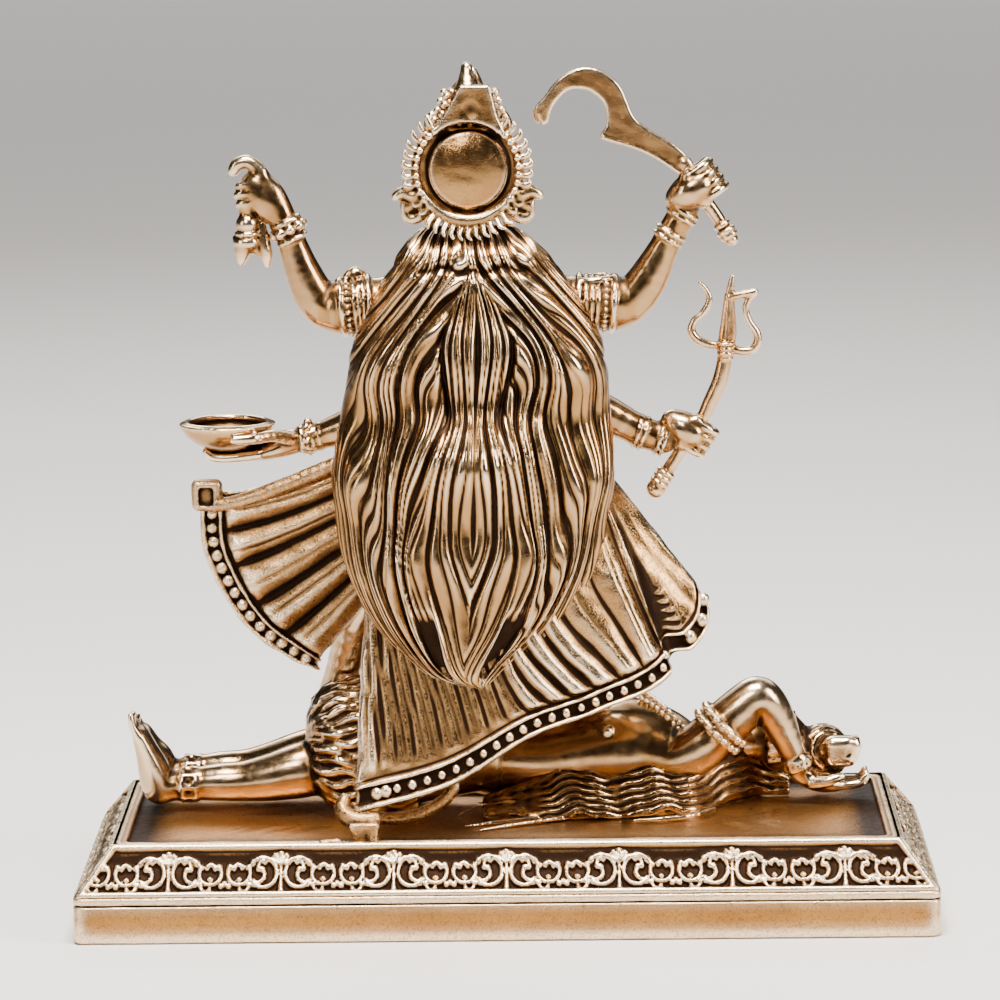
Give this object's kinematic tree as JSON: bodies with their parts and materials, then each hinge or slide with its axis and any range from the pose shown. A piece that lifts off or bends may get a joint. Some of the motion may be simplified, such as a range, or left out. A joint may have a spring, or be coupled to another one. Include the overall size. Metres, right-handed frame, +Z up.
{
  "type": "kali figure",
  "caption": "Small cast brass figure of Kali with flowing hair, standing on a reclining Shiva on a stepped plinth with a palmette frieze.",
  "frame": {"origin": "middle of the plinth's underside", "axes": "+Z up, +X towards the standing figure's left hand, -Y the way the standing figure faces"},
  "size_m": [0.11, 0.048, 0.1094],
  "materials": {
    "plinth_brass": "cast, worn bright on edges, dark in the recesses",
    "figure_brass": "antique, polished on the high places, black-brown in the folds",
    "weapon_brass": "cast, satin"
  },
  "bodies": {
    "root": {"plinth": "plinth_brass", "reclining_shiva": "figure_brass", "standing_kali": "figure_brass", "sword": "weapon_brass", "trident": "weapon_brass"}
  },
  "joints": []
}
